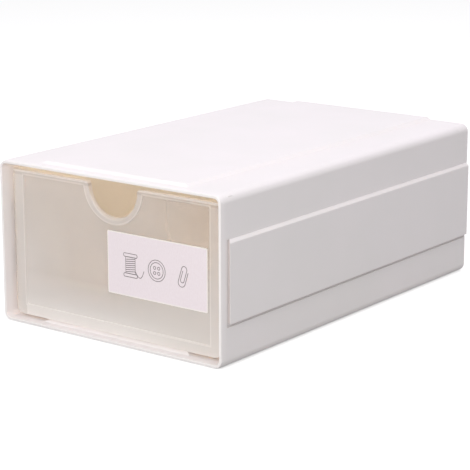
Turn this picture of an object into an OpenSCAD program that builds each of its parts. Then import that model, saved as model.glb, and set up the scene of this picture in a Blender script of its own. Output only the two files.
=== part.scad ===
// Stackable drawer box.
// An open-fronted moulded case with plates seated in its sides, and a frosted drawer
// that slides out to the front. The raised panel on the top of one box sits in the
// recess under the next. Millimetres, +Z up, the front faces -Y.
// The origin is under the middle of the box, at the level of its foot.

/* [Case] */
// Width of the case between its flat sides
body_w = 180; // [150:1:260]
// Depth of the case, from the rim to the back
body_d = 286; // [220:1:360]
// Height of the case, from the foot to the flat margin of its top
body_h = 107; // [90:1:160]
// Thickness of the case's walls
wall_t = 2.2; // [1.8:0.1:3]
// Outer radius of the four long edges
edge_r = 5.5; // [4:0.5:10]
// Outer radius of the edges of the back
back_r = 1.4; // [0.6:0.1:1.6]

/* [Rim] */
// Length of the rounded rim behind the front face
rim_len = 5; // [4:0.5:6]
// How far the rim draws in at its tip
rim_inset = 0.5; // [0.4:0.1:1]
// Radius of the rim's two tip edges
rim_tip_r = 0.4; // [0.2:0.1:0.5]

/* [Top panel and stacking] */
// Height of the raised panel above the top's margin
panel_rise = 1.5; // [1:0.1:2]
// Width of the slope around the raised panel
panel_bevel = 2.7; // [1.5:0.1:4]
// Flat margin on each side of the raised panel
panel_margin = 30.5; // [20:0.5:45]
// Distance of the raised panel behind the rim
panel_front = 6.5; // [6:0.5:12]
// Room around the raised panel in the recess of the box above
stack_gap = 0.6; // [0.3:0.1:1]
// How much lower than the raised panel the recess under the case is
stack_seat = 0.1; // [0:0.05:0.3]

/* [Side plates] */
// Height of a side plate's lower edge
plate_z = 25.5; // [15:0.5:30]
// Height of a side plate, edge to edge
plate_h = 54; // [40:1:60]
// How far a side plate stands out of the case's side
plate_rise = 1.8; // [1:0.1:2.5]
// Height of the slope along a side plate's long edges
plate_bevel = 2; // [1:0.1:3]
// Distance of the side plates behind the rim
plate_front = 6; // [6:0.5:10]
// Depth of the seat that a side plate lies in
plate_seat = 0.8; // [0.4:0.1:1]
// Gap between a side plate and the step in front of it
plate_gap = 0.55; // [0.3:0.05:0.8]
// Play between a side plate and its seat, above, below and behind
plate_fit = 0.1; // [0.05:0.05:0.2]
// Number of pegs that hold a side plate
peg_count = 3; // [2:1:5]
// Diameter of those pegs
peg_d = 5; // [3:0.5:8]
// Play of a peg in its hole, on the diameter
peg_fit = 0.1; // [0.05:0.05:0.2]
// Distance of the outermost pegs from the plate's ends
peg_inset = 24; // [15:1:40]

/* [Drawer] */
// How far the drawer's front lies behind the rim
recess = 7; // [6:0.5:10]
// Gap between the drawer's border and the case's wall, on each side
side_gap = 1.3; // [0.8:0.1:2]
// Gap between the drawer's top edge and the case's ceiling
top_gap = 4.6; // [3.5:0.1:6]
// Gap between the closed drawer and the case's back wall
back_gap = 2; // [1:0.5:5]
// Thickness of the drawer's side and back walls
drawer_t = 2; // [1.6:0.1:2.6]
// Thickness of the drawer's front at its border
front_t = 3; // [2.6:0.1:4]
// Thickness of the drawer's floor
floor_t = 2; // [1.6:0.1:3]
// Radius of the drawer's upright corners
corner_r = 4; // [3:0.5:6]
// Radius of the drawer's long bottom edges
bottom_r = 8; // [5:0.5:12]
// Height of the bead along the drawer's top edge
bead_h = 3; // [2:0.5:5]
// How far that bead stands out of the drawer's walls
bead_out = 0.6; // [0.3:0.1:0.8]

/* [Drawer front] */
// Width of the front's raised border at the sides
border_w = 10.8; // [8:0.2:14]
// Width of the front's raised border at the bottom
border_foot = 7; // [5:0.5:12]
// Depth of the front's panel below its border
border_rise = 0.5; // [0.3:0.1:0.8]
// Corner radius of the front's panel
field_r = 2; // [1:0.5:5]
// Radius of the finger notch
notch_r = 20; // [14:0.5:26]
// Depth of the notch's centre below the drawer's top edge
notch_drop = 0.7; // [0:0.1:6]
// Radius where the notch runs out into the top edge
lip_r = 2.2; // [1:0.1:4]
// Width of the border around the notch
notch_border = 4.3; // [2:0.1:5]
// Radius of the notch's edge at the front, which is roundest at the bottom of the notch
notch_soft = 2.4; // [1:0.1:2.6]
// How far the middle of that round lies below the notch's centre
notch_dip = 1.5; // [0:0.1:2]

/* [Travel] */
// Length of the drawer that stays behind the stops when it is pulled out
kept_len = 69.3; // [50:0.1:120]
// Distance of the stops behind the rim
stop_front = 8.5; // [8:0.5:12]
// Length of a stop
stop_len = 4; // [3:0.5:6]
// Width of a stop
stop_w = 9; // [6:0.5:14]
// How far a stop hangs below the ceiling
stop_drop = 2.4; // [2:0.1:3]
// Room between the drawer's tabs and the ceiling
tab_room = 1; // [0.6:0.1:1.4]
// Length of a tab
tab_len = 9; // [6:0.5:14]
// Distance of the glide rails inside the edge of the raised floor
rail_inset = 7.5; // [7:0.5:30]
// Width of a glide rail
rail_w = 4; // [3:0.5:6]
// Height of a glide rail
rail_h = 0.5; // [0.4:0.1:1]
// Running gap between the rails and the drawer
rail_gap = 0.1; // [0.05:0.05:0.3]

/* [Label] */
// Width of the label
label_w = 79; // [50:1:90]
// Height of the label
label_h = 40.2; // [25:0.1:45]
// Thickness of the label
label_t = 0.25; // [0.15:0.05:0.4]
// Corner radius of the label
label_r = 0.8; // [0.4:0.1:2]
// Gap between the label and the border at its right
label_gap = 1.8; // [1:0.1:20]
// Gap between the label and the notch's border above it
label_drop = 3.8; // [2:0.1:15]

/* [View] */
// Piece to build

/* [Hidden] */
$fn = 64;

white = [0.95, 0.93, 0.94];
plate_white = [0.93, 0.92, 0.92];
frosted = [0.80, 0.75, 0.69, 0.75];
paper = [0.92, 0.88, 0.90];

half_w = body_w / 2;
front_y = -body_d / 2;
back_y = body_d / 2;

// How far the forms of one moulding run into each other
lap = wall_t / 4;

// Inside of the case
recess_h = panel_rise - stack_seat;
floor_z = recess_h + wall_t;
ceiling_z = body_h - wall_t;
inner_w = body_w - 2 * wall_t;
inner_back_y = back_y - wall_t;

// Raised panel and the recess that takes the one below
panel_half = half_w - panel_margin;
panel_y = front_y + panel_front;
panel_back_y = back_y - back_r;

// Side plates
plate_y = front_y + plate_front;
plate_back_y = back_y - back_r;
plate_len = plate_back_y - plate_y;
seat_x = half_w - plate_seat;

// Drawer
drawer_w = inner_w - 2 * side_gap;
drawer_y = front_y + recess;
drawer_back_y = inner_back_y - back_gap;
drawer_d = drawer_back_y - drawer_y;
drawer_z = floor_z + rail_h + rail_gap;
drawer_top = ceiling_z - top_gap;
drawer_h = drawer_top - drawer_z;
notch_z = drawer_top - notch_drop;

// Stops under the ceiling, the drawer's way out, and the tabs that meet the stops at its end
stop_y = front_y + stop_front;
stop_z = ceiling_z - stop_drop;
travel = drawer_back_y - kept_len - stop_y - stop_len;
tab_y = stop_y + stop_len + travel;
tab_top = ceiling_z - tab_room;

// Rails that the drawer runs on
rail_x = panel_half - rail_inset;
rail_y = panel_y + panel_bevel;

// ---- shapes shared by the pieces ----

// Rectangle with round corners, standing on the X axis, centred on the Y axis
module round_rect(w, h, r) {
    translate([-w / 2 + r, 0]) square([w - 2 * r, h]);
    translate([-w / 2, r]) square([w, h - 2 * r]);
    for (x = [-w / 2 + r, w / 2 - r], y = [r, h - r])
        translate([x, y]) circle(r);
}

// Rectangle whose two lower corners are round
module trough_rect(w, h, r) {
    translate([-w / 2 + r, 0]) square([w - 2 * r, h]);
    translate([-w / 2, r]) square([w, h - r]);
    for (x = [-w / 2 + r, w / 2 - r])
        translate([x, r]) circle(r);
}

// Outline drawn in X and Z, carried from y to y + len
module along_y(y, len) {
    translate([0, y + len, 0]) rotate([90, 0, 0]) linear_extrude(len) children();
}

// Outline drawn in Y and Z, carried across the width w about the middle
module along_x(w) {
    translate([-w / 2, 0, 0]) rotate([90, 0, 90]) linear_extrude(w) children();
}

// Wall section carried around the case's four sides and long edges: each quarter turns
// round one long edge and runs past the middle of both sides that meet there.
// In the section X is the distance out of the case's side and Y the distance behind the rim.
module around_case() {
    for (side = [0, 1], over = [0, 1])
        translate([0, front_y, over * body_h]) mirror([0, 0, over]) mirror([side, 0, 0])
            translate([half_w - edge_r, 0, edge_r]) {
                rotate([-90, 0, 0]) rotate_extrude(angle = 90)
                    translate([edge_r, 0]) children();
                linear_extrude(body_h / 2) translate([edge_r, 0]) children();
                mirror([1, 0, 0]) rotate([0, 90, 0])
                    linear_extrude(half_w) translate([edge_r, 0]) children();
            }
}

// ---- case ----

// Section of the wall from the rim to the back. At the rim the outside curves in towards
// the tip, and both tip edges are round; at the back the outer edge is round.
module wall_section() {
    sweep_r = (pow(rim_len, 2) + pow(rim_inset, 2)) / (2 * rim_inset);
    tip_w = wall_t - rim_inset;
    intersection() {
        union() {
            translate([-wall_t + rim_tip_r, 0]) square([tip_w - 2 * rim_tip_r, rim_len]);
            for (x = [-wall_t + rim_tip_r, -rim_inset - rim_tip_r])
                translate([x, rim_tip_r]) circle(rim_tip_r);
            translate([-wall_t, rim_tip_r]) square([wall_t, body_d - rim_tip_r - back_r]);
            translate([-wall_t, body_d - wall_t]) square([wall_t - back_r, wall_t]);
            translate([-back_r, body_d - back_r]) circle(back_r);
        }
        union() {
            translate([-sweep_r, rim_len]) circle(sweep_r);
            translate([-wall_t, rim_len]) square([wall_t, body_d]);
        }
    }
}

// The four walls and the back, which runs a little way into them
module walls() {
    back_lap = (wall_t - back_r) / 2;
    around_case() wall_section();
    along_y(inner_back_y, wall_t)
        translate([0, wall_t - back_lap])
            round_rect(inner_w + 2 * back_lap, body_h - 2 * (wall_t - back_lap),
                       edge_r - wall_t + back_lap);
}

// Panel with sloping front and sides, on a foot that reaches down by lap.
// It runs back to end_y, and grow widens it on the other three sides.
module sloped_panel(rise, grow, end_y) {
    half = panel_half + grow;
    y0 = panel_y - grow;
    intersection() {
        along_y(y0, end_y - y0) polygon([
            [-half, -lap], [-half, 0], [-half + panel_bevel, rise],
            [half - panel_bevel, rise], [half, 0], [half, -lap]]);
        along_x(body_w) polygon([
            [y0, -lap], [y0, 0], [y0 + panel_bevel, rise],
            [end_y + lap, rise], [end_y + lap, -lap]]);
    }
}

// Front view of a side plate with its sloping long edges, from the depth x out to rise
module plate_view(x, rise, play) {
    z0 = plate_z - play;
    z1 = plate_z + plate_h + play;
    slope = plate_bevel * rise / plate_rise;
    polygon([[x, z0], [half_w, z0], [half_w + rise, z0 + slope],
             [half_w + rise, z1 - slope], [half_w, z1], [x, z1]]);
}

// Peg stations along a side plate
function peg_y(i) = plate_y + peg_inset + i * (plate_len - 2 * peg_inset) / (peg_count - 1);

// Round bars that stand for the pegs, from the case's inside to the seat
module plate_pegs(d, x0, x1) {
    for (i = [0:peg_count - 1])
        translate([x0, peg_y(i), plate_z + plate_h / 2])
            rotate([0, 90, 0]) cylinder(d = d, h = x1 - x0);
}

// What a side plate takes out of the right wall: its seat, open at the back, and its holes
module plate_cut() {
    translate([seat_x, plate_y - plate_gap, plate_z - plate_gap / 2])
        cube([plate_seat + 1, body_d, plate_h + plate_gap / 2 + plate_fit]);
    plate_pegs(peg_d + peg_fit, half_w - wall_t - 1, half_w);
}

// Stop under the ceiling, sloping at the front so that the tabs can be snapped past it
module stop_lug() {
    translate([half_w - wall_t - stop_w, 0, 0]) rotate([90, 0, 90])
        linear_extrude(stop_w + wall_t / 2) polygon([
            [stop_y, ceiling_z + lap], [stop_y, ceiling_z], [stop_y + stop_len / 2, stop_z],
            [stop_y + stop_len, stop_z], [stop_y + stop_len, ceiling_z + lap]]);
}

// Raised floor above the recess, and the rails that the drawer runs on
module floor_inside() {
    translate([0, 0, wall_t]) sloped_panel(recess_h, stack_gap, inner_back_y + lap);
    for (side = [-1, 1])
        translate([side * rail_x - rail_w / 2, rail_y, floor_z - lap])
            cube([rail_w, inner_back_y + lap - rail_y, rail_h + lap]);
}

module case_shell() {
    color(white) difference() {
        union() {
            walls();
            translate([0, 0, body_h]) sloped_panel(panel_rise, 0, panel_back_y);
            floor_inside();
            for (side = [0, 1]) mirror([side, 0, 0]) stop_lug();
        }
        sloped_panel(recess_h, stack_gap, back_y + lap);
        for (side = [0, 1]) mirror([side, 0, 0]) plate_cut();
    }
}

// ---- side plates ----

// Plate of the right side: a slab with sloping edges, and pegs into the wall
module side_plate() {
    nose = plate_bevel / 4;
    intersection() {
        along_y(plate_y, plate_len) plate_view(seat_x, plate_rise, 0);
        linear_extrude(body_h) polygon([
            [seat_x, plate_y], [half_w + plate_rise - nose, plate_y],
            [half_w + plate_rise, plate_y + nose],
            [half_w + plate_rise, plate_back_y], [seat_x, plate_back_y]]);
    }
    plate_pegs(peg_d, half_w - wall_t, seat_x + plate_seat / 2);
}

module side_panel_right() {
    color(plate_white) side_plate();
}

module side_panel_left() {
    color(plate_white) mirror([1, 0, 0]) side_plate();
}

// ---- drawer ----

// Solid with the tray's outline, drawn in by inset all round, from z up to the height h
module tray_solid(inset, z, h) {
    low_r = bottom_r - inset;
    intersection() {
        along_y(drawer_y + inset, drawer_d - 2 * inset)
            translate([0, z]) trough_rect(drawer_w - 2 * inset, h, low_r);
        translate([0, drawer_y + inset, z]) linear_extrude(h)
            round_rect(drawer_w - 2 * inset, drawer_d - 2 * inset, corner_r - inset);
    }
}

// Inside of the tray
module tray_hollow() {
    inset = bead_out + drawer_t;
    z = drawer_z + floor_t;
    w = drawer_w - 2 * inset;
    y0 = drawer_y + front_t;
    d = drawer_back_y - inset - y0;
    in_r = corner_r - inset + bead_out;
    intersection() {
        along_y(y0, d) translate([0, z])
            trough_rect(w, drawer_h, bottom_r - inset);
        translate([0, y0, z]) linear_extrude(drawer_h) round_rect(w, d, in_r);
    }
}

// Outline of the finger notch, with the round run-out on both sides at the top edge
module notch_outline() {
    lip_x = sqrt(pow(notch_r + lip_r - lap / 25, 2) - pow(lip_r - notch_drop, 2));
    translate([0, notch_z]) circle(notch_r);
    for (side = [0, 1]) mirror([side, 0]) difference() {
        polygon([[0, notch_z], [lip_x, drawer_top - lip_r], [lip_x, drawer_top + 1],
                 [0, drawer_top + 1]]);
        translate([lip_x, drawer_top - lip_r]) circle(lip_r);
    }
}

// Outline of the border around the notch
module notch_rim() {
    r = notch_r + notch_border;
    translate([0, notch_z]) circle(r);
    translate([-r, notch_z]) square([2 * r, notch_drop + 1]);
}

// Takes off the notch's sharp edge at the front. The round stops a little short of both faces,
// so that it crosses them instead of touching them.
module notch_round() {
    off = 0.95 * notch_soft;
    middle = notch_r - notch_dip + notch_soft - lap / 10;
    translate([0, drawer_y, notch_z - notch_dip]) rotate([-90, 0, 0])
        rotate_extrude() difference() {
            translate([0, -1]) square([middle, 1 + off]);
            translate([middle, off]) circle(notch_soft);
        }
}

// Panel of the front inside its raised border
module field_outline() {
    w = drawer_w - 2 * border_w;
    z0 = drawer_z + border_foot;
    difference() {
        translate([0, z0]) round_rect(w, drawer_top - bead_h - z0, field_r);
        notch_rim();
    }
}

// Tabs on the side walls, square at the front where they meet the stops
module stop_tabs() {
    for (side = [0, 1]) mirror([side, 0, 0])
        translate([drawer_w / 2 - bead_out - drawer_t, 0, 0]) rotate([90, 0, 90])
            linear_extrude(drawer_t + bead_out) polygon([
                [tab_y, drawer_top - bead_h], [tab_y, tab_top],
                [tab_y + tab_len / 3, tab_top], [tab_y + tab_len, drawer_top],
                [tab_y + tab_len, drawer_top - bead_h]]);
}

module drawer_tray() {
    color(frosted) difference() {
        union() {
            // Walls, and the front wall that stands out to the level of its border
            tray_solid(bead_out, drawer_z, drawer_h);
            intersection() {
                tray_solid(0, drawer_z, drawer_h);
                along_y(drawer_y, corner_r) translate([0, drawer_z])
                    trough_rect(drawer_w - 2 * bead_out, drawer_h, bottom_r - bead_out);
            }
            // Bead along the top edge
            intersection() {
                tray_solid(0, drawer_z, drawer_h);
                translate([-half_w, front_y, drawer_top - bead_h])
                    cube([body_w, body_d, bead_h]);
            }
            stop_tabs();
        }
        tray_hollow();
        along_y(drawer_y - 1, front_t + 2) {
            notch_outline();
        }
        notch_round();
        along_y(drawer_y - 1, 1 + border_rise) field_outline();
    }
}

// ---- label ----

module label_sticker() {
    right_x = drawer_w / 2 - border_w - label_gap;
    top_z = notch_z - notch_r - notch_border - label_drop;
    color(paper) along_y(drawer_y + border_rise - label_t, label_t)
        translate([right_x - label_w / 2, top_z - label_h])
            round_rect(label_w, label_h, label_r);
}

case_shell();
side_panel_left();
side_panel_right();
drawer_tray();
label_sticker();
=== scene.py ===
"""Stackable drawer box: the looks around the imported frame.

Metres, Z up, the open front faces -Y, the floor is at Z = 0.
"""
import math

import bmesh
import bpy
from mathutils import Matrix, Vector


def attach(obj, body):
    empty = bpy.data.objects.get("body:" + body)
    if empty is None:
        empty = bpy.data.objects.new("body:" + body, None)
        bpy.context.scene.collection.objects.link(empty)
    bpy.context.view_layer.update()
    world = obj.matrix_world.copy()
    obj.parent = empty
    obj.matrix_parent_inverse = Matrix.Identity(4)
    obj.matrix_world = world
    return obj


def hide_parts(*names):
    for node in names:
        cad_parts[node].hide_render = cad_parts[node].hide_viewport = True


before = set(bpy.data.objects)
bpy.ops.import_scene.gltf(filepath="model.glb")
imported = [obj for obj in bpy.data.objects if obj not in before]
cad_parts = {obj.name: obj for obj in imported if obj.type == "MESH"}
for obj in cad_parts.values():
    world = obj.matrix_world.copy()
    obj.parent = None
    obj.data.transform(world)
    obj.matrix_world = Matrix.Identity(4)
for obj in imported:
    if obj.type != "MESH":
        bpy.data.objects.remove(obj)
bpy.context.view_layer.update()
MM = 0.001


def placed(name, data):
    """A new object in the scene that holds this mesh, light or lens."""
    made = bpy.data.objects.new(name, data)
    bpy.context.scene.collection.objects.link(made)
    return made


def settled(holder):
    """The object's mesh as its modifiers leave it."""
    view = holder.evaluated_get(bpy.context.evaluated_depsgraph_get())
    return bpy.data.meshes.new_from_object(view)


class Nodes:
    """A node tree, with short calls for what materials, shapes and the world share."""

    def __init__(self, tree):
        self.tree = tree

    def add(self, kind, inputs=None, **props):
        """A new node with its properties set and its inputs set or linked."""
        made = self.tree.nodes.new(kind)
        for key, value in props.items():
            setattr(made, key, value)
        for key, value in (inputs or {}).items():
            if isinstance(value, bpy.types.NodeSocket):
                self.link(value, made.inputs[key])
            else:
                made.inputs[key].default_value = value
        return made

    def link(self, source, target):
        self.tree.links.new(source, target)

    def calc(self, operation, *values):
        return self.add("ShaderNodeMath", dict(enumerate(values)),
                        operation=operation).outputs[0]

    def spread(self, value, low, high, to_low=0.0, to_high=1.0):
        """Maps low..high of value to to_low..to_high, held at both ends."""
        return self.add("ShaderNodeMapRange", {
            "Value": value, "From Min": low, "From Max": high,
            "To Min": to_low, "To Max": to_high}).outputs[0]


# ---- materials ----

# Half width of the change from one side of a border to the other
EDGE = 0.0004


class Shader(Nodes):
    """A material's node tree, with short calls for the nodes that the finishes use."""

    def __init__(self, name):
        self.material = bpy.data.materials.new(name)
        self.material.use_nodes = True
        super().__init__(self.material.node_tree)
        self.tree.nodes.clear()
        self.out = self.add("ShaderNodeOutputMaterial")
        self.place = self.add("ShaderNodeTexCoord").outputs["Object"]

    def axes(self):
        return self.add("ShaderNodeSeparateXYZ", {"Vector": self.place}).outputs

    def stretched(self, scale):
        """Object coordinates stretched by scale, one number for each axis."""
        return self.add("ShaderNodeMapping", {"Vector": self.place, "Scale": scale}).outputs[0]

    def noise(self, size, detail=2.0, roughness=0.5, vector=None):
        """Noise whose blotches are about size metres across."""
        return self.add("ShaderNodeTexNoise", {
            "Vector": vector or self.place, "Scale": 1 / size,
            "Detail": detail, "Roughness": roughness}).outputs["Fac"]

    def times(self, a, b):
        return self.calc("MULTIPLY", a, b)

    def plus(self, a, b):
        return self.calc("ADD", a, b)

    def minus(self, a, b):
        return self.calc("SUBTRACT", a, b)

    def greater(self, a, b):
        return self.calc("MAXIMUM", a, b)

    def size(self, a):
        return self.calc("ABSOLUTE", a)

    def length(self, a, b):
        flat = self.add("ShaderNodeCombineXYZ", {"X": a, "Y": b})
        return self.add("ShaderNodeVectorMath", {0: flat.outputs[0]},
                        operation="LENGTH").outputs["Value"]

    def beyond(self, value, middle, half):
        """How far value lies outside the strip of this half width around middle."""
        return self.minus(self.size(self.minus(value, middle)), half)

    def change(self, value, at, below=0.0, above=1.0):
        """Goes from below to above where value passes at."""
        return self.spread(value, at - EDGE, at + EDGE, below, above)

    def blend(self, share, a, b):
        """Colour a where share is 0 and b where it is 1."""
        return self.add("ShaderNodeMix", {0: share, 6: a, 7: b}, data_type="RGBA").outputs[2]

    def bump(self, height, strength, distance, normal=None):
        inputs = {"Height": height, "Strength": strength, "Distance": distance}
        if normal is not None:
            inputs["Normal"] = normal
        return self.add("ShaderNodeBump", inputs).outputs[0]

    def surface(self, **sockets):
        """The shader itself; numbers and colours go on its own sockets."""
        names = {key.replace("_", " "): value for key, value in sockets.items()}
        made = self.add("ShaderNodeBsdfPrincipled", names)
        self.link(made.outputs[0], self.out.inputs[0])
        return made


def colour(r, g, b):
    """Screen colour 0-255 as linear RGBA."""
    def linear(c):
        c /= 255
        return c / 12.92 if c <= 0.04045 else ((c + 0.055) / 1.055) ** 2.4
    return (linear(r), linear(g), linear(b), 1)


# Values of a noise between which it turns from one tone to the other: in blotches, in grain,
# in scuffs, in scratches and in print
BLOTCH, GRAIN, SCUFF = (0.35, 0.65), (0.3, 0.7), (0.5, 0.7)
SCRATCH, INK = (0.62, 0.8), (0.35, 0.7)
# Roughness of the finishes, from their smoothest grain to their roughest
WHITE_ROUGH, FROSTED_ROUGH, PAPER_ROUGH = (0.46, 0.54), (0.14, 0.18), (0.5, 0.6)
# How strongly polypropylene bends light
PLASTIC_IOR = 1.49
# Attribute of a softened piece: 1 on its small round edges
ROUNDED = "rounded_edge"

# How much of the light that has met a wall before soaks through the case's thin walls, its
# colour there, and the heights between which the thick foot turns into thin wall
WALL_SHARE, WALL_TINT, FOOT = 0.73, colour(255, 247, 233), (0.004, 0.012)
# Where the walls run into the mouth, on the Y axis, and the part of that light left there
MOUTH, MOUTH_SHARE = (-0.131, -0.118), 0.5
# Where the side plates sit in the case: least and most |X|, half height, mid height, front end
SEAT_IN, SEAT_OUT, SEAT_HALF, SEAT_MID, SEAT_FRONT = 0.0885, 0.0897, 0.0285, 0.0525, -0.139
# How much of the painted shade's dark colour lies on the seats, and that colour
SEAT_SHADE_SHARE, SEAT_SHADE_TONE = 0.28, colour(150, 144, 138)
# What rubbed edges take on of a duller tone, and what they and fine scratches add to roughness
RUBBED, RUBBED_TONE, RUBBED_ROUGH, SCRATCHED_ROUGH = 0.4, colour(232, 227, 226), 0.12, 0.05


def moulded_white(name, soaking):
    """Satin polypropylene: a hardly visible cloudiness, fine grain, edges rubbed a little dull.

    With soaking it is the case's, with painted shade in its seats and light inside its walls.
    """
    s = Shader(name)
    cloud = s.spread(s.noise(0.06, 3), *BLOTCH)
    grain = s.noise(0.0007, 3)
    tone = s.blend(cloud, colour(246, 241, 242), colour(243, 239, 239))
    edge = s.add("ShaderNodeAttribute", attribute_name=ROUNDED).outputs["Fac"]
    scuff = s.spread(s.noise(0.004, 4, 0.7, s.stretched((1, 0.2, 1))), *SCUFF)
    worn = s.times(edge, scuff)
    tone = s.blend(s.times(worn, RUBBED), tone, RUBBED_TONE)
    if soaking:
        # Painted shade in the seats of the side plates: a darker tone that shows as shade in the
        # gaps around them
        x, y, z = s.axes()
        side, height = s.minus(SEAT_IN, s.size(x)), s.beyond(z, SEAT_MID, SEAT_HALF)
        out = s.change(s.greater(s.greater(side, height), s.minus(SEAT_FRONT, y)), 0)
        # The darker tone on the seat floors is painted shade
        seat_shade = s.spread(s.size(x), SEAT_OUT, SEAT_OUT + EDGE / 2, SEAT_SHADE_SHARE, 0)
        tone = s.blend(s.times(seat_shade, s.minus(1, out)), tone, SEAT_SHADE_TONE)
    scratch = s.spread(s.noise(0.0015, 2, 0.6, s.stretched((1, 0.03, 1))), *SCRATCH)
    rough = s.plus(s.spread(grain, *GRAIN, *WHITE_ROUGH),
                   s.plus(s.times(worn, RUBBED_ROUGH), s.times(scratch, SCRATCHED_ROUGH)))
    slow = s.bump(s.noise(0.09, 1), strength=0.25, distance=0.0006)
    normal = s.bump(grain, strength=0.06, distance=0.0001, normal=slow)
    solid = s.surface(Base_Color=tone, Roughness=rough, IOR=PLASTIC_IOR, Normal=normal)
    if soaking:
        # The seats are closed by the side plates, so no light comes through there
        share = s.times(s.times(out, s.spread(z, *FOOT, 0, WALL_SHARE)),
                        s.spread(y, *MOUTH, MOUTH_SHARE, 1))
        camera_ray = s.add("ShaderNodeLightPath").outputs["Is Camera Ray"]
        soaked = s.add("ShaderNodeBsdfTranslucent", {"Color": WALL_TINT})
        wall = s.add("ShaderNodeMixShader", {
            0: s.times(share, s.spread(camera_ray, 0, 1, 1, 0)),
            1: solid.outputs[0], 2: soaked.outputs[0]})
        s.link(wall.outputs[0], s.out.inputs[0])
    return s.material


# Half width, half height and mid height of the panel in the drawer's front
FIELD_HALF_W, FIELD_HALF_H, FIELD_MID = 0.0757, 0.043, 0.0542
# The notch's centre height, the radius of its border, and where the front wall ends
NOTCH_MID, NOTCH_BORDER, FRONT_END = 0.0995, 0.0243, -0.1325
# Share of clear plastic against haze in the walls, in the front's border and in its panel, and
# what the front gains from its left to its right end
WALLS_CLEAR, BORDER_CLEAR, PANEL_CLEAR, CLEARER = 0.35, 0.42, 0.6, 0.3
# What the front loses at its foot, and the parts of that left in the border, at the panel's
# left end and in the border left of it
HAZY_FOOT, FOOT_BORDER, FOOT_LEFT, FOOT_CORNER = 0.58, 0.75, 0.72, 0.25
# Where the haze at the foot begins to thin out, and where it ends in the middle and on the right
FOOT_TOP, HAZE_TOPS = 0.011, (0.035, 0.078)
# Further haze low on the panel's left: its share, the X where it fades to the right, and the
# heights where it comes in and where it fades out
HAZY_LEFT, LEFT_ACROSS, LEFT_IN, LEFT_OUT = 0.13, (-0.07, -0.035), (0.02, 0.035), (0.05, 0.085)
# Further clearness high on the panel's right, and where it comes in across and upwards
CLEAR_RIGHT, RIGHT_ACROSS, RIGHT_IN = 0.1, (0.03, FIELD_HALF_W), (0.055, 0.08)
# Further clearness of the border above the panel
UPPER_CLEAR = 0.13
# Haze of the line along the border's step and the line's width, height where the hazy top edge
# begins and the part of the clear share left in it
STEP_HAZE, STEP_WIDTH, TOP_EDGE, TOP_CLEAR = 0.12, 0.0008, 0.099, 0.35


def frosted_clear():
    """Frosted translucent polypropylene of the drawer."""
    s = Shader("frosted_clear")
    cloud = s.spread(s.noise(0.05, 3), *BLOTCH)
    grain = s.noise(0.0005, 2)
    x, y, z = s.axes()
    # The front is thicker than the walls and the floor, and takes more of the light
    front = s.change(y, FRONT_END, 1, 0)
    tone = s.blend(cloud, s.blend(front, colour(251, 249, 246), colour(232, 226, 223)),
                   s.blend(front, colour(249, 247, 243), colour(229, 223, 219)))
    # The panel in the front is thinner and clearer than its border
    side, height = s.beyond(x, 0, FIELD_HALF_W), s.beyond(z, FIELD_MID, FIELD_HALF_H)
    notch = s.minus(NOTCH_BORDER, s.length(x, s.minus(z, NOTCH_MID)))
    out = s.greater(s.greater(side, height), s.greater(notch, s.minus(y, FRONT_END)))
    clear = s.plus(s.change(out, 0, PANEL_CLEAR, BORDER_CLEAR),
                   s.spread(x, -FIELD_HALF_W, FIELD_HALF_W, -CLEARER / 2, CLEARER / 2))
    # The haze is thicker at the foot, to a greater height on the right
    border = s.change(out, 0)
    foot = s.spread(z, FOOT_TOP, s.spread(x, 0, FIELD_HALF_W, *HAZE_TOPS), HAZY_FOOT, 0)
    foot = s.times(foot, s.times(s.spread(border, 0, 1, 1, FOOT_BORDER),
                                 s.spread(x, -FIELD_HALF_W, 0, FOOT_LEFT, 1)))
    foot = s.times(foot, s.change(x, -FIELD_HALF_W, FOOT_CORNER, 1))
    # The panel is hazier low on its left and clearer high on its right
    left = s.times(s.spread(x, *LEFT_ACROSS, HAZY_LEFT, 0), s.spread(z, *LEFT_OUT, 1, 0))
    left = s.times(left, s.spread(z, *LEFT_IN))
    right = s.times(s.spread(x, *RIGHT_ACROSS, 0, CLEAR_RIGHT), s.spread(z, *RIGHT_IN))
    panel = s.times(s.minus(1, border), s.minus(right, left))
    clear = s.plus(s.minus(clear, foot), panel)
    # The border's upper part is nearly as clear as the panel, its step and top edge are hazy
    upper = s.change(z, FIELD_MID + FIELD_HALF_H, 0, UPPER_CLEAR)
    step = s.times(s.spread(out, -EDGE, 0),
                   s.spread(out, STEP_WIDTH, 1.5 * STEP_WIDTH, STEP_HAZE, 0))
    clear = s.minus(s.plus(clear, upper), step)
    clear = s.times(clear, s.change(z, TOP_EDGE, 1, TOP_CLEAR))
    clear = s.plus(s.times(front, clear), s.times(s.minus(1, front), WALLS_CLEAR))
    s.surface(Base_Color=tone, Roughness=s.spread(grain, *GRAIN, *FROSTED_ROUGH),
              IOR=PLASTIC_IOR, Normal=s.bump(grain, strength=0.05, distance=0.0001),
              Transmission_Weight=clear)
    return s.material


# Middle of the label, half its width and height, and the width of the paler band painted round
# its edge as a highlight
LABEL_MID, LABEL_HALF, LABEL_HIGHLIGHT_BAND = (0.0344, 0.0513), (0.0395, 0.0201), 0.0006


def label_stock():
    """Matte coated paper with a faint fibre grain, and a paler band painted round its edge as a
    highlight.
    """
    s = Shader("label_stock")
    fibre = s.noise(0.0009, 5, 0.65, s.stretched((1, 1, 0.5)))
    tone = s.blend(s.spread(fibre, *BLOTCH), colour(242, 232, 238), colour(238, 227, 233))
    x, y, z = s.axes()
    side = s.beyond(x, LABEL_MID[0], LABEL_HALF[0])
    height = s.beyond(z, LABEL_MID[1], LABEL_HALF[1])
    # The paler band round the label's edge is a painted highlight
    rim_highlight = s.spread(s.greater(side, height), -1.5 * LABEL_HIGHLIGHT_BAND, -0.5 * LABEL_HIGHLIGHT_BAND)
    tone = s.blend(rim_highlight, tone, colour(252, 246, 244))
    s.surface(Base_Color=tone, Roughness=s.spread(fibre, *GRAIN, *PAPER_ROUGH),
              Normal=s.bump(fibre, strength=0.1, distance=0.00005))
    return s.material


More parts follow.
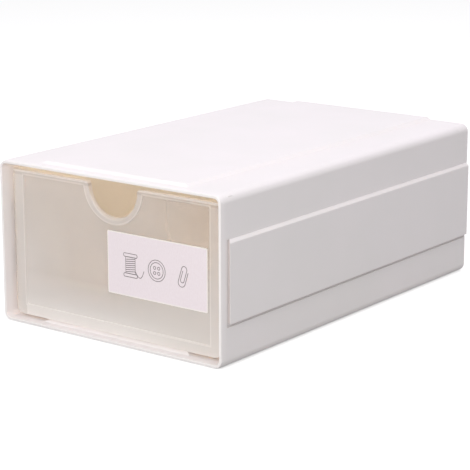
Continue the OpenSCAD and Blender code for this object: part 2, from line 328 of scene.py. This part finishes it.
def printed_line():
    """Dark grey print, a little uneven where the paper took less of it."""
    s = Shader("printed_line")
    even = s.spread(s.noise(0.0006, 3), *INK)
    tone = s.blend(even, colour(92, 82, 84), colour(128, 118, 120))
    s.surface(Base_Color=tone, Roughness=s.spread(even, 0, 1, *PAPER_ROUGH))
    return s.material


# ---- Geometry Nodes trees ----

class Shaper(Nodes):
    """A Geometry Nodes tree with named sizes, and short calls for its nodes."""

    def __init__(self, name, **sizes):
        super().__init__(bpy.data.node_groups.new(name, "GeometryNodeTree"))
        self.name = name
        panel = self.tree.interface
        panel.new_socket("Geometry", in_out="INPUT", socket_type="NodeSocketGeometry")
        panel.new_socket("Geometry", in_out="OUTPUT", socket_type="NodeSocketGeometry")
        self.sizes = {}
        for key, value in sizes.items():
            kind = "NodeSocketInt" if isinstance(value, int) else "NodeSocketFloat"
            socket = panel.new_socket(key.replace("_", " "), in_out="INPUT", socket_type=kind)
            socket.default_value = value
            self.sizes[socket.identifier] = value
        self.given = self.add("NodeGroupInput").outputs

    def __getattr__(self, key):
        """The named size as an output socket, such as shaper.line_width."""
        return self.given[key.replace("_", " ")]

    def node(self, kind, inputs=None, **props):
        """A new node's first output."""
        return self.add(kind, inputs, **props).outputs[0]

    def sum(self, a, b):
        return self.calc("ADD", a, b)

    def share(self, a, b):
        return self.calc("MULTIPLY", a, b)

    def point(self, x=0.0, y=0.0, z=0.0):
        return self.node("ShaderNodeCombineXYZ", {"X": x, "Y": y, "Z": z})

    def moved(self, what, to=(0, 0, 0), turned=(0, 0, 0)):
        return self.node("GeometryNodeTransform", {
            "Geometry": what, "Translation": to, "Rotation": turned})

    def copied(self, what, points):
        return self.node("GeometryNodeInstanceOnPoints", {"Points": points, "Instance": what})

    def row(self, count, first, step):
        """Points in a row: how many, where the first one is and the way to the next."""
        return self.node("GeometryNodeMeshLine", {
            "Count": count, "Start Location": first, "Offset": step})

    def joined(self, *parts):
        join = self.add("GeometryNodeJoinGeometry")
        for part in parts:
            self.link(part, join.inputs[0])
        return join.outputs[0]

    def line(self, start, end):
        return self.node("GeometryNodeCurvePrimitiveLine", {"Start": start, "End": end})

    def rectangle(self, width, height):
        return self.node("GeometryNodeCurvePrimitiveQuadrilateral", {
            "Width": width, "Height": height})

    def circle(self, radius, steps=40):
        return self.node("GeometryNodeCurvePrimitiveCircle", {
            "Resolution": steps, "Radius": radius})

    def rounded(self, curve, radius, steps):
        return self.node("GeometryNodeFilletCurve", {
            "Curve": curve, "Radius": radius, "Limit Radius": True, "Count": steps},
            mode="POLY")

    def swept(self, path, section):
        """A solid with this section along the path, closed at its ends."""
        return self.node("GeometryNodeCurveToMesh", {
            "Curve": path, "Profile Curve": section, "Fill Caps": True})

    def outline(self, corners):
        """A closed curve through flat corners, each an X and a Y."""
        ring = self.node("GeometryNodeMeshCircle", {"Vertices": len(corners)})
        pick = self.add("GeometryNodeIndexSwitch", data_type="VECTOR")
        while len(pick.index_switch_items) < len(corners):
            pick.index_switch_items.new()
        self.link(self.node("GeometryNodeInputIndex"), pick.inputs["Index"])
        for socket, (x, y) in zip(pick.inputs[1:], corners):
            self.link(self.point(x, y), socket)
        corners_set = self.node("GeometryNodeSetPosition", {
            "Geometry": ring, "Position": pick.outputs[0]})
        return self.node("GeometryNodeMeshToCurve", {"Mesh": corners_set})

    def mesh(self, result, material, start=None):
        """Runs the tree on the start mesh with its named sizes and hands back a plain mesh."""
        real = self.node("GeometryNodeRealizeInstances", {"Geometry": result})
        dressed = self.node("GeometryNodeSetMaterial", {"Geometry": real, "Material": material})
        self.add("NodeGroupOutput", {0: dressed})
        holder = placed(self.name, start or bpy.data.meshes.new(self.name))
        maker = holder.modifiers.new("shape", "NODES")
        maker.node_group = self.tree
        for identifier, value in self.sizes.items():
            maker[identifier] = value
        made = settled(holder)
        bpy.data.objects.remove(holder)
        return made


# ---- pieces ----

# Corners nearer than this are one, and edges flatter than this go, before a piece is softened
SAME_CORNER, FLAT = 0.002 * MM, math.radians(0.5)
# Edges sharper than this get the small round
SHARP = math.radians(24)


def softened(node, piece, body, material, width=0.25 * MM, steps=2, mesh=None):
    """The node's own form, or mesh, with small round edges, as a piece that stands for it."""
    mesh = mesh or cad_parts[node].data.copy()
    form = bmesh.new()
    form.from_mesh(mesh)
    bmesh.ops.remove_doubles(form, verts=form.verts, dist=SAME_CORNER)
    bmesh.ops.dissolve_limit(form, angle_limit=FLAT, verts=form.verts, edges=form.edges)
    form.to_mesh(mesh)
    form.free()
    mesh.shade_smooth()
    mesh.materials.clear()
    for _ in range(2):
        mesh.materials.append(material)
    base = placed(piece, mesh)
    edges = base.modifiers.new("edges", "BEVEL")
    edges.width, edges.segments = width, steps
    edges.limit_method, edges.angle_limit = "ANGLE", SHARP
    edges.material = 1
    even = base.modifiers.new("even", "WEIGHTED_NORMAL")
    even.keep_sharp = False
    done = settled(base)
    base.modifiers.clear()
    base.data = done
    # The new round faces carry the second slot: it becomes the attribute and goes again
    slots = [0] * len(done.polygons)
    done.polygons.foreach_get("material_index", slots)
    done.attributes.new(ROUNDED, "FLOAT", "FACE").data.foreach_set("value", slots)
    done.polygons.foreach_set("material_index", [0] * len(slots))
    done.materials.pop(index=1)
    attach(base, body)
    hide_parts(node)


def side_plate(place, out, material):
    """Slab with sloping long edges that leans back at its front end, and a row of pegs.

    It is drawn with X out of the seat, Y down and Z along its length, then laid at place
    with its front end first; out is 1 for the right side and -1 for the left.
    """
    s = Shaper("side_plate", length=278.6 * MM, height=54 * MM, seat=0.8 * MM, rise=1.8 * MM,
               slope=2 * MM, foot_gap=1.5 * MM, lean=1.1, pegs=3, peg_width=5 * MM,
               peg_length=1.4 * MM, peg_inset=24 * MM)
    half, face = s.share(s.height, 0.5), s.sum(s.seat, s.rise)
    low = s.sum(half, s.share(s.foot_gap, -1))
    flat = s.sum(half, s.share(s.slope, -1))
    top = s.share(half, -1)
    section = s.outline([(0, top), (s.seat, top), (face, s.share(flat, -1)), (face, flat),
                         (s.seat, low), (0, low)])
    slab = s.swept(s.line(s.point(), s.point(z=s.length)), section)
    # The front end leans back, most at the bottom of the seat
    spot = s.add("ShaderNodeSeparateXYZ", {0: s.node("GeometryNodeInputPosition")}).outputs
    depth = s.sum(face, s.share(spot["X"], -1))
    front = s.node("FunctionNodeCompare", {0: spot["Z"], 1: s.seat}, data_type="FLOAT",
                   operation="LESS_THAN")
    slab = s.node("GeometryNodeSetPosition", {
        "Geometry": slab, "Selection": front, "Offset": s.point(z=s.share(depth, s.lean))})
    peg = s.node("GeometryNodeMeshCylinder", {
        "Vertices": 32, "Radius": s.share(s.peg_width, 0.5),
        "Depth": s.share(s.peg_length, 2)})
    peg = s.moved(peg, turned=(0, math.radians(90), 0))
    reach = s.sum(s.length, s.share(s.peg_inset, -2))
    gap = s.calc("DIVIDE", reach, s.sum(s.pegs, -1))
    pegs = s.copied(peg, s.row(s.pegs, s.point(z=s.peg_inset), s.point(z=gap)))
    laid = s.moved(s.joined(slab, pegs), turned=(math.radians(-90), 0, 0))
    if out < 0:
        laid = s.node("GeometryNodeTransform", {"Geometry": laid, "Scale": (-1, 1, 1)})
        laid = s.node("GeometryNodeFlipFaces", {"Mesh": s.node(
            "GeometryNodeRealizeInstances", {"Geometry": laid})})
    return s.mesh(s.moved(laid, (out * place[0], *place[1:])), material)


# The paper clip's wire as a row of bends, X and Y in millimetres, and the radius of its bends
CLIP_BENDS = [(-1.4, 3), (-1.4, -4.4), (1.4, -4.4), (1.4, 6.2), (-2.7, 6.2), (-2.7, -7.2),
              (2.7, -7.2), (2.7, 3.6)]
CLIP_RADIUS = 3 * MM


def label_print(place, material):
    """Thin line drawings on the label, in a row: a spool of thread, a button and a clip.

    They are drawn flat, X to the right and Y up, then stood up at place on the label.
    """
    s = Shaper("label_lines", line_width=0.42 * MM, line_depth=0.02 * MM, pitch=21 * MM,
               spool_width=11 * MM, spool_height=15 * MM, flange=2.2 * MM, turns=7,
               button_width=13.5 * MM, holes=4)
    # Spool: two flanges, the wound body between them, the turns of thread on it and its end
    flange = s.rounded(s.rectangle(s.spool_width, s.flange), s.share(s.flange, 0.4), 4)
    reach = s.share(s.sum(s.spool_height, s.share(s.flange, -1)), 0.5)
    flanges = s.copied(flange, s.row(2, s.point(y=s.share(reach, -1)),
                                     s.point(y=s.share(reach, 2))))
    wound_w = s.share(s.spool_width, 0.7)
    wound_h = s.sum(s.share(reach, 2), s.share(s.flange, -1))
    wound = s.rectangle(wound_w, wound_h)
    slant = s.share(wound_h, 0.045)
    turn = s.line(s.point(s.share(wound_w, -0.5), s.share(slant, -1)),
                  s.point(s.share(wound_w, 0.5), slant))
    step = s.calc("DIVIDE", wound_h, s.sum(s.turns, 1))
    turns = s.copied(turn, s.row(s.turns, s.point(y=s.sum(s.share(wound_h, -0.5), step)),
                                 s.point(y=step)))
    tail = s.node("GeometryNodeCurveQuadraticBezier", {
        "Resolution": 14, "Start": s.point(s.share(wound_w, 0.5), s.share(wound_h, -0.3)),
        "Middle": s.point(s.share(s.spool_width, 0.75), s.share(wound_h, -1.05)),
        "End": s.point(s.share(s.spool_width, 0.98), s.share(wound_h, -0.2))})
    spool = s.moved(s.joined(flanges, wound, turns, tail), s.point(s.share(s.pitch, -1)))
    # Button: its edge, the dish inside it and a ring of holes
    radius = s.share(s.button_width, 0.5)
    corners = s.node("GeometryNodeMeshCircle", {
        "Vertices": s.holes, "Radius": s.share(radius, 0.34)})
    corners = s.moved(corners, turned=(0, 0, math.radians(45)))
    holes = s.copied(s.circle(s.share(radius, 0.14), 14), corners)
    button = s.joined(s.circle(radius), s.circle(s.share(radius, 0.76)), holes)
    # Clip: the start mesh is its wire, whose corners are rounded as far as they go
    wire = s.node("GeometryNodeMeshToCurve", {"Mesh": s.given["Geometry"]})
    clip = s.moved(s.rounded(wire, CLIP_RADIUS, 10), s.point(s.pitch),
                   (0, 0, math.radians(-18)))
    lines = s.node("GeometryNodeSetCurveNormal", {"Curve": s.joined(spool, button, clip)},
                   mode="Z_UP")
    strips = s.swept(lines, s.rectangle(s.line_width, s.line_depth))
    stood = s.moved(strips, place, (math.radians(90), 0, 0))
    start = bpy.data.meshes.new("clip_wire")
    start.from_pydata([(x * MM, y * MM, 0) for x, y in CLIP_BENDS],
                      [(i, i + 1) for i in range(len(CLIP_BENDS) - 1)], [])
    piece = placed("label_print", s.mesh(stood, material, start))
    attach(piece, "drawer")


# Middle of the right plate's front end, at the bottom of its seat
PLATE_PLACE = (89.2 * MM, -137 * MM, 52.5 * MM)
# Middle of the print's thickness, on the Y axis
PRINT_MID = -135.76 * MM

case_white = moulded_white("case_white", soaking=True)
plate_white = moulded_white("plate_white", soaking=False)
softened("case_shell", "case_moulding", "case", case_white)
for side, out in (("left", -1), ("right", 1)):
    softened("side_panel_" + side, "side_plate_" + side, "case", plate_white,
             width=0.35 * MM, steps=3, mesh=side_plate(PLATE_PLACE, out, plate_white))
softened("drawer_tray", "drawer", "drawer", frosted_clear(),
         width=0.35 * MM)
softened("label_sticker", "label", "drawer", label_stock(), width=0.05 * MM)
label_print((LABEL_MID[0], PRINT_MID, LABEL_MID[1]), printed_line())


# ---- stage, light and camera ----

# The floor's width, its own colour as the camera and as the box meet it, and what it adds for
# the camera
FLOOR_WIDTH = 12
FLOOR_SEEN, FLOOR_BOUNCE, FLOOR_GLOW = (0.8, 0.8, 0.8, 1), (0.42, 0.42, 0.42, 1), 0.49
# Strength of the white around the box, as its light and as it is seen or mirrored
WORLD_LIGHT, WORLD_SEEN = 0.5, 1.0


def stage_white():
    """Pale floor that the camera sees as white, and that keeps the shadow."""
    s = Shader("stage_white")
    ray = s.add("ShaderNodeLightPath").outputs
    seen = s.plus(ray["Is Camera Ray"], s.plus(ray["Is Glossy Ray"], ray["Is Transmission Ray"]))
    tone = s.blend(ray["Is Camera Ray"], FLOOR_BOUNCE, FLOOR_SEEN)
    plain = s.add("ShaderNodeBsdfDiffuse", {"Color": tone})
    glow = s.add("ShaderNodeEmission", {
        "Color": (1, 1, 1, 1), "Strength": s.times(seen, FLOOR_GLOW)})
    both = s.add("ShaderNodeAddShader", {0: plain.outputs[0], 1: glow.outputs[0]})
    s.link(both.outputs[0], s.out.inputs[0])
    return s.material


def plane(name, width, material):
    """A square of the stage at the height of the box's foot."""
    mesh = bpy.data.meshes.new(name)
    h = width / 2
    mesh.from_pydata([(-h, -h, 0), (h, -h, 0), (h, h, 0), (-h, h, 0)], [], [(0, 1, 2, 3)])
    mesh.materials.append(material)
    made = placed(name, mesh)


plane("stage_floor", FLOOR_WIDTH, stage_white())

world = bpy.data.worlds.new("studio")
world.use_nodes = True
world.node_tree.nodes.clear()
bpy.context.scene.world = world
air = Nodes(world.node_tree)
ray = air.add("ShaderNodeLightPath").outputs
mirrored = air.calc("MAXIMUM", ray["Is Glossy Ray"], ray["Is Transmission Ray"])
seen = air.calc("MAXIMUM", ray["Is Camera Ray"], mirrored)
white = air.add("ShaderNodeBackground", {
    "Color": (1, 1, 1, 1), "Strength": air.spread(seen, 0, 1, WORLD_LIGHT, WORLD_SEEN)})
air.add("ShaderNodeOutputWorld", {0: white.outputs[0]})

# The point that the lamps face, and each lamp's place, size, watts and colour
LAMP_AIM = Vector((0, 0, 0.05))
LAMPS = {
    "overhead": ((0.1, 0.1, 1.5), (1.1, 1.1), 9.2, (0.93, 0.885, 1.0)),
    "front": ((0.55, -1.55, 0.65), (1.0, 0.9), 15.2, (1.0, 0.992, 0.947)),
}
for name, (place, size, power, tint) in LAMPS.items():
    light = bpy.data.lights.new(name, "AREA")
    light.shape = "RECTANGLE"
    light.size, light.size_y = size
    light.energy = power
    light.color = tint
    lamp = placed(name, light)
    lamp.location = place
    lamp.rotation_euler = (LAMP_AIM - Vector(place)).to_track_quat("-Z", "Y").to_euler()

# Light goes back and forth many times inside a white box behind a frosted front
paths = bpy.context.scene.cycles
paths.max_bounces, paths.diffuse_bounces = 64, 32
paths.glossy_bounces, paths.transmission_bounces = 48, 48
paths.blur_glossy = 0

# Viewing angle, and where the camera stands
AZIMUTH, ELEVATION, ROLL = math.radians(37.222), math.radians(14.195), math.radians(-0.1128)
SPOT = Vector((0.720945, -0.959301, 0.343081))
# In pixels: width of the render, length of the lens, the render's middle and how far off
# that the lens points
RENDER_WIDTH, FOCAL = 470, 1813.91
MIDDLE = (RENDER_WIDTH - 1) / 2
CENTRE = (235.39 - MIDDLE, 237.184 - MIDDLE)

away = Vector((math.sin(AZIMUTH) * math.cos(ELEVATION),
               -math.cos(AZIMUTH) * math.cos(ELEVATION), math.sin(ELEVATION)))
right = Vector((math.cos(AZIMUTH), math.sin(AZIMUTH), 0))
up = away.cross(right)
right, up = (math.cos(ROLL) * right + math.sin(ROLL) * up,
             -math.sin(ROLL) * right + math.cos(ROLL) * up)
lens = bpy.data.cameras.new("camera")
lens.sensor_width = 36
lens.lens = FOCAL / RENDER_WIDTH * lens.sensor_width
lens.shift_x = -CENTRE[0] / RENDER_WIDTH
lens.shift_y = CENTRE[1] / RENDER_WIDTH
lens.clip_start, lens.clip_end = 0.05, 50
camera = placed("camera", lens)
camera.matrix_world = Matrix.Translation(SPOT) @ Matrix((right, up, away)).transposed().to_4x4()
bpy.context.scene.camera = camera
bpy.context.scene.view_settings.view_transform = "Standard"
